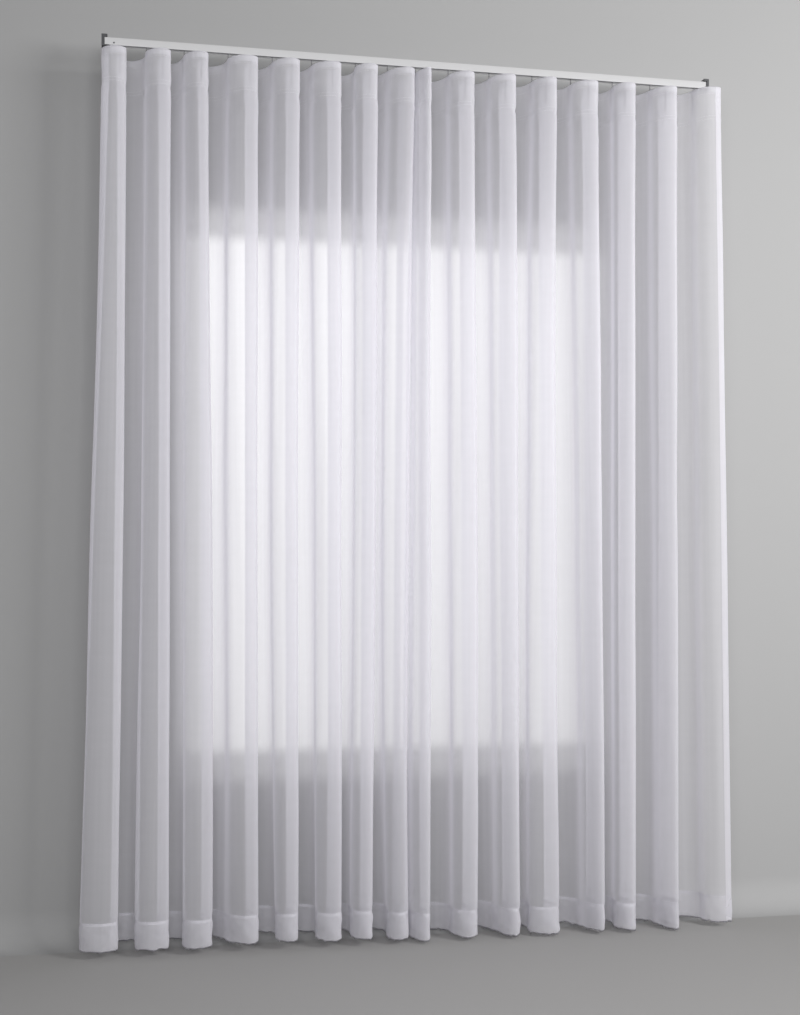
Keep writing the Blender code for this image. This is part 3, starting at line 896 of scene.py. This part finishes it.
def mixed(material, share, first, second):
    """Two shaders mixed, with this share of the second."""
    made = add_node(material, "MixShader")
    feed(material, share, made.inputs["Fac"])
    join(material, first.outputs[0], made.inputs[1])
    join(material, second.outputs[0], made.inputs[2])
    return made


def ramp(material, value, start, end, low, high, kind="LINEAR"):
    """A value that goes from low to high as another one goes from start to end."""
    limits = {"From Min": start, "From Max": end, "To Min": low, "To Max": high}
    made = add_node(material, "MapRange", limits, interpolation_type=kind)
    join(material, value, made.inputs["Value"])
    return made.outputs[0]


def relief(material, surface, height, strength, distance):
    """Shades a surface as if it rose and fell with this height."""
    bump = add_node(material, "Bump", {"Strength": strength, "Distance": distance})
    join(material, height, bump.inputs["Height"])
    join(material, bump.outputs["Normal"], surface.inputs["Normal"])


def complete(material, shader):
    """Makes this shader what the material shows."""
    out = add_node(material, "OutputMaterial")
    join(material, shader.outputs[0], out.inputs["Surface"])
    return material


def even_noise(material, scale, detail):
    """Noise in metres, with this many cells a metre."""
    place = add_node(material, "TexCoord").outputs["Object"]
    noise = add_node(material, "TexNoise", {"Scale": scale, "Detail": detail})
    join(material, place, noise.inputs["Vector"])
    return noise.outputs["Fac"]


def stretched_noise(material, cells, detail):
    """Noise in the cloth's own metres, with this many cells a metre across it and down it."""
    place = add_node(material, "TexCoord").outputs["UV"]
    scale = add_node(material, "Mapping", {"Scale": (*cells, 1)})
    join(material, place, scale.inputs["Vector"])
    noise = add_node(material, "TexNoise", {"Scale": 1.0, "Detail": detail, "Roughness": 0.6})
    join(material, scale.outputs["Vector"], noise.inputs["Vector"])
    return noise.outputs["Fac"]


def woven_height(material, yarns):
    """The higher of two waves, one across the cloth and one down it, so that yarns lie over each other."""
    place = add_node(material, "TexCoord").outputs["UV"]
    warp = add_node(material, "TexWave", {"Scale": yarns}, bands_direction="X")
    weft = add_node(material, "TexWave", {"Scale": yarns * 0.9}, bands_direction="Y")
    for wave in (warp, weft):
        join(material, place, wave.inputs["Vector"])
    return maths(material, "MAXIMUM", warp.outputs["Fac"], weft.outputs["Fac"])


def cloth_cover(material, weave):
    """How much of what is behind it the cloth covers, where n thicknesses cover 1 - open^n.

    A slanting line meets 1 / cos as much yarn, as in glass. Yarns of uneven thickness make the cloth
    denser and thinner in long streaks, about an even mean.
    """
    warp = stretched_noise(material, WARP_STREAKS, 1.0)
    weft = stretched_noise(material, WEFT_STREAKS, 0.0)
    thick = maths(material, "MULTIPLY", warp, weave.streak)
    slubs = maths(material, "MULTIPLY", weft, weave.streak / 4)
    mean = (weave.streak + weave.streak / 4) / 2
    unevenness = maths(material, "ADD", thick, slubs)
    open_share = maths(material, "SUBTRACT", 1 - weave.cover + mean, unevenness)
    layers = add_node(material, "Attribute", attribute_name="layers")
    angle = add_node(material, "LayerWeight", {"Blend": 0.5})
    cosine = maths(material, "SUBTRACT", 1.0, angle.outputs["Facing"])
    path = maths(material, "DIVIDE", layers.outputs["Fac"], maths(material, "MAXIMUM", cosine, GRAZING))
    return maths(material, "SUBTRACT", 1.0, maths(material, "POWER", open_share, path))


def sheer_cloth(weave):
    """Sheer woven cloth: yarns that partly reflect light and partly let it glow through, and that
    cover only a share of what is behind them."""
    made = empty_material(weave.name)
    dense = cloth_cover(made, weave)
    surface = add_node(
        made, "BsdfPrincipled",
        {"Base Color": (*weave.colour, 1), "Roughness": 0.8, "Sheen Weight": 0.3, "Sheen Roughness": 0.2,
         "Specular IOR Level": 0.3},
    )
    relief(made, surface, woven_height(made, weave.yarns), 0.35, 0.0003)
    through = add_node(made, "BsdfTranslucent", {"Color": (*weave.colour, 1)})
    cloth = mixed(made, weave.glow, surface, through)
    clear = add_node(made, "BsdfTransparent")
    return complete(made, mixed(made, dense, clear, cloth))


def thread_finish():
    """White sewing thread, with a fine twist in its surface."""
    made = empty_material("white_thread")
    surface = add_node(
        made, "BsdfPrincipled", {"Base Color": (*THREAD_COLOUR, 1), "Roughness": 0.6, "Sheen Weight": 0.3}
    )
    relief(made, surface, even_noise(made, 2500.0, 2.0), 0.3, 0.0001)
    return complete(made, surface)


def hard_finish(finish):
    """Enamel or moulded plastic: an even colour, with a fine grain in its gloss and its surface."""
    made = empty_material(finish.name)
    surface = add_node(
        made, "BsdfPrincipled",
        {"Base Color": (*finish.colour, 1), "Roughness": finish.roughness, "Coat Weight": finish.coat,
         "Coat Roughness": 0.2},
    )
    noise = even_noise(made, finish.grain, 3.0)
    gloss = ramp(made, noise, 0.0, 1.0, finish.roughness - 0.06, finish.roughness + 0.08)
    join(made, gloss, surface.inputs["Roughness"])
    relief(made, surface, noise, 0.25, finish.depth)
    return complete(made, surface)


# ---- studio

def floor_sheet():
    """A pale floor, just below the hems."""
    finish = empty_material("pale_floor")
    matt = add_node(finish, "BsdfPrincipled", {"Base Color": (*FLOOR_COLOUR, 1), "Roughness": 0.75})
    complete(finish, matt)
    outline = ((-1, -1), (1, -1), (1, 1), (-1, 1))
    corners = [(FLOOR_SPAN * x, FLOOR_SPAN * y, FLOOR_HEIGHT) for x, y in outline]
    return smooth_mesh("floor", corners, [(0, 1, 2, 3)], finish)


def backdrop_sheet():
    """A backdrop that only shows from the front, with painted light: its grey is paler towards the right,
    as if lit more from that side. A quarter of a circle leads from it to the floor."""
    finish = empty_material("backdrop_painted_paler_right")
    matt = add_node(finish, "BsdfPrincipled", {"Roughness": 0.9})
    place = add_node(finish, "TexCoord").outputs["Object"]
    parts = add_node(finish, "SeparateXYZ")
    join(finish, place, parts.inputs[0])
    # painted light: the backdrop's grey rises from left to right
    painted_light = ramp(finish, parts.outputs["X"], *BACKDROP_PAINTED_ENDS, *BACKDROP_PAINTED_GREYS)
    join(finish, painted_light, matt.inputs["Base Color"])
    clear = add_node(finish, "BsdfTransparent")
    side = add_node(finish, "NewGeometry")
    complete(finish, mixed(finish, side.outputs["Backfacing"], matt, clear))
    turn = np.linspace(0, PI / 2, 9)
    y = np.concatenate((BACKDROP - COVE + COVE * np.sin(turn), [BACKDROP]))
    z = np.concatenate((FLOOR_HEIGHT + COVE - COVE * np.cos(turn), [BACKDROP_TOP])) + COVE_GAP
    points = [(x, b, c) for b, c in zip(y, z) for x in (-BACKDROP_SPAN, BACKDROP_SPAN)]
    return smooth_mesh("backdrop", points, grid(len(y), 2), finish)


def soft_light(light):
    """A rectangular light at its place, turned to its target, that the camera doesn't see."""
    data = bpy.data.lights.new(light.name, "AREA")
    data.shape = "RECTANGLE"
    data.size, data.size_y = light.size
    data.energy = light.power
    data.color = light.colour
    made = bpy.data.objects.new(light.name, data)
    made.location = light.place
    aim = Vector(light.target) - Vector(light.place)
    made.rotation_euler = aim.to_track_quat("-Z", "Y").to_euler()
    made.visible_camera = False
    bpy.context.scene.collection.objects.link(made)
    return made


def glow_light():
    """A wide soft light behind the cloth, just before the backdrop: even in its core, weaker in a band
    round it, none at its rim, and a little stronger on the left and higher up."""
    made = soft_light(GLOW)
    made.visible_camera = True
    light = made.data
    light.use_nodes = True
    place = add_node(light, "NewGeometry").outputs["Parametric"]
    parts = add_node(light, "SeparateXYZ")
    join(light, place, parts.inputs[0])
    strength = 1.0
    for axis, (low, high) in enumerate(GLOW_LEANS):
        across = parts.outputs[axis]
        both_ways = maths(light, "SUBTRACT", maths(light, "MULTIPLY", across, 2.0), 1.0)
        from_centre = maths(light, "ABSOLUTE", both_ways, 0.0)
        core = ramp(light, from_centre, *GLOW_CORE, 1 - GLOW_SKIRT, 0.0, "SMOOTHSTEP")
        skirt = ramp(light, from_centre, *GLOW_RIM, GLOW_SKIRT, 0.0, "SMOOTHSTEP")
        lean = maths(light, "ADD", maths(light, "MULTIPLY", across, high - low), low)
        side = maths(light, "MULTIPLY", maths(light, "ADD", core, skirt), lean)
        strength = maths(light, "MULTIPLY", side, strength)
    join(light, strength, light.node_tree.nodes["Emission"].inputs["Strength"])


def lights():
    """The soft key and fill from the front, the glow behind the cloth, and even light all round."""
    soft_light(KEY)
    soft_light(FILL)
    glow_light()
    world = bpy.data.worlds.new("studio")
    world.use_nodes = True
    shader = world.node_tree.nodes["Background"]
    shader.inputs["Color"].default_value = (*AIR_COLOUR, 1)
    shader.inputs["Strength"].default_value = AIR_STRENGTH
    bpy.context.scene.world = world


def camera():
    """The camera: level, turned a little towards +X, raised by a lens shift."""
    data = bpy.data.cameras.new("camera")
    data.lens = CAMERA_LENS
    data.shift_y = CAMERA_SHIFT
    data.clip_end = 60.0
    made = bpy.data.objects.new("camera", data)
    made.location = CAMERA_PLACE
    made.rotation_euler = (PI / 2, 0, -np.radians(CAMERA_TURN))
    bpy.context.scene.collection.objects.link(made)
    bpy.context.scene.camera = made


def render_look():
    """Plain colours, and light that is followed through all the layers of cloth."""
    scene = bpy.context.scene
    scene.view_settings.view_transform = "Standard"
    scene.cycles.transparent_max_bounces = 20
    scene.cycles.max_bounces = 6
    scene.cycles.diffuse_bounces = 2
    scene.cycles.use_light_tree = False
    scene.cycles.caustics_reflective = False
    scene.cycles.caustics_refractive = False
    scene.cycles.transmission_bounces = 4


def main():
    """Makes the studio, the rail and its caps, then each panel, its tape, stitches and gliders."""
    camera()
    floor = floor_sheet()
    backdrop = backdrop_sheet()
    lights()
    render_look()
    voile = sheer_cloth(VOILE)
    woven_tape = sheer_cloth(WOVEN_TAPE)
    thread = thread_finish()
    enamel = hard_finish(ENAMEL)
    dark_plastic = hard_finish(DARK_PLASTIC)
    nylon = hard_finish(NYLON)
    rail(enamel)
    end_cap("left", -1, dark_plastic)
    end_cap("right", 1, dark_plastic)
    stop_screw(dark_plastic)
    for panel in PANELS:
        cloth = curtain(panel, voile)
        heading = tape(panel, woven_tape)
        seams = stitching(panel, thread)
        gliders(panel, nylon)


main()
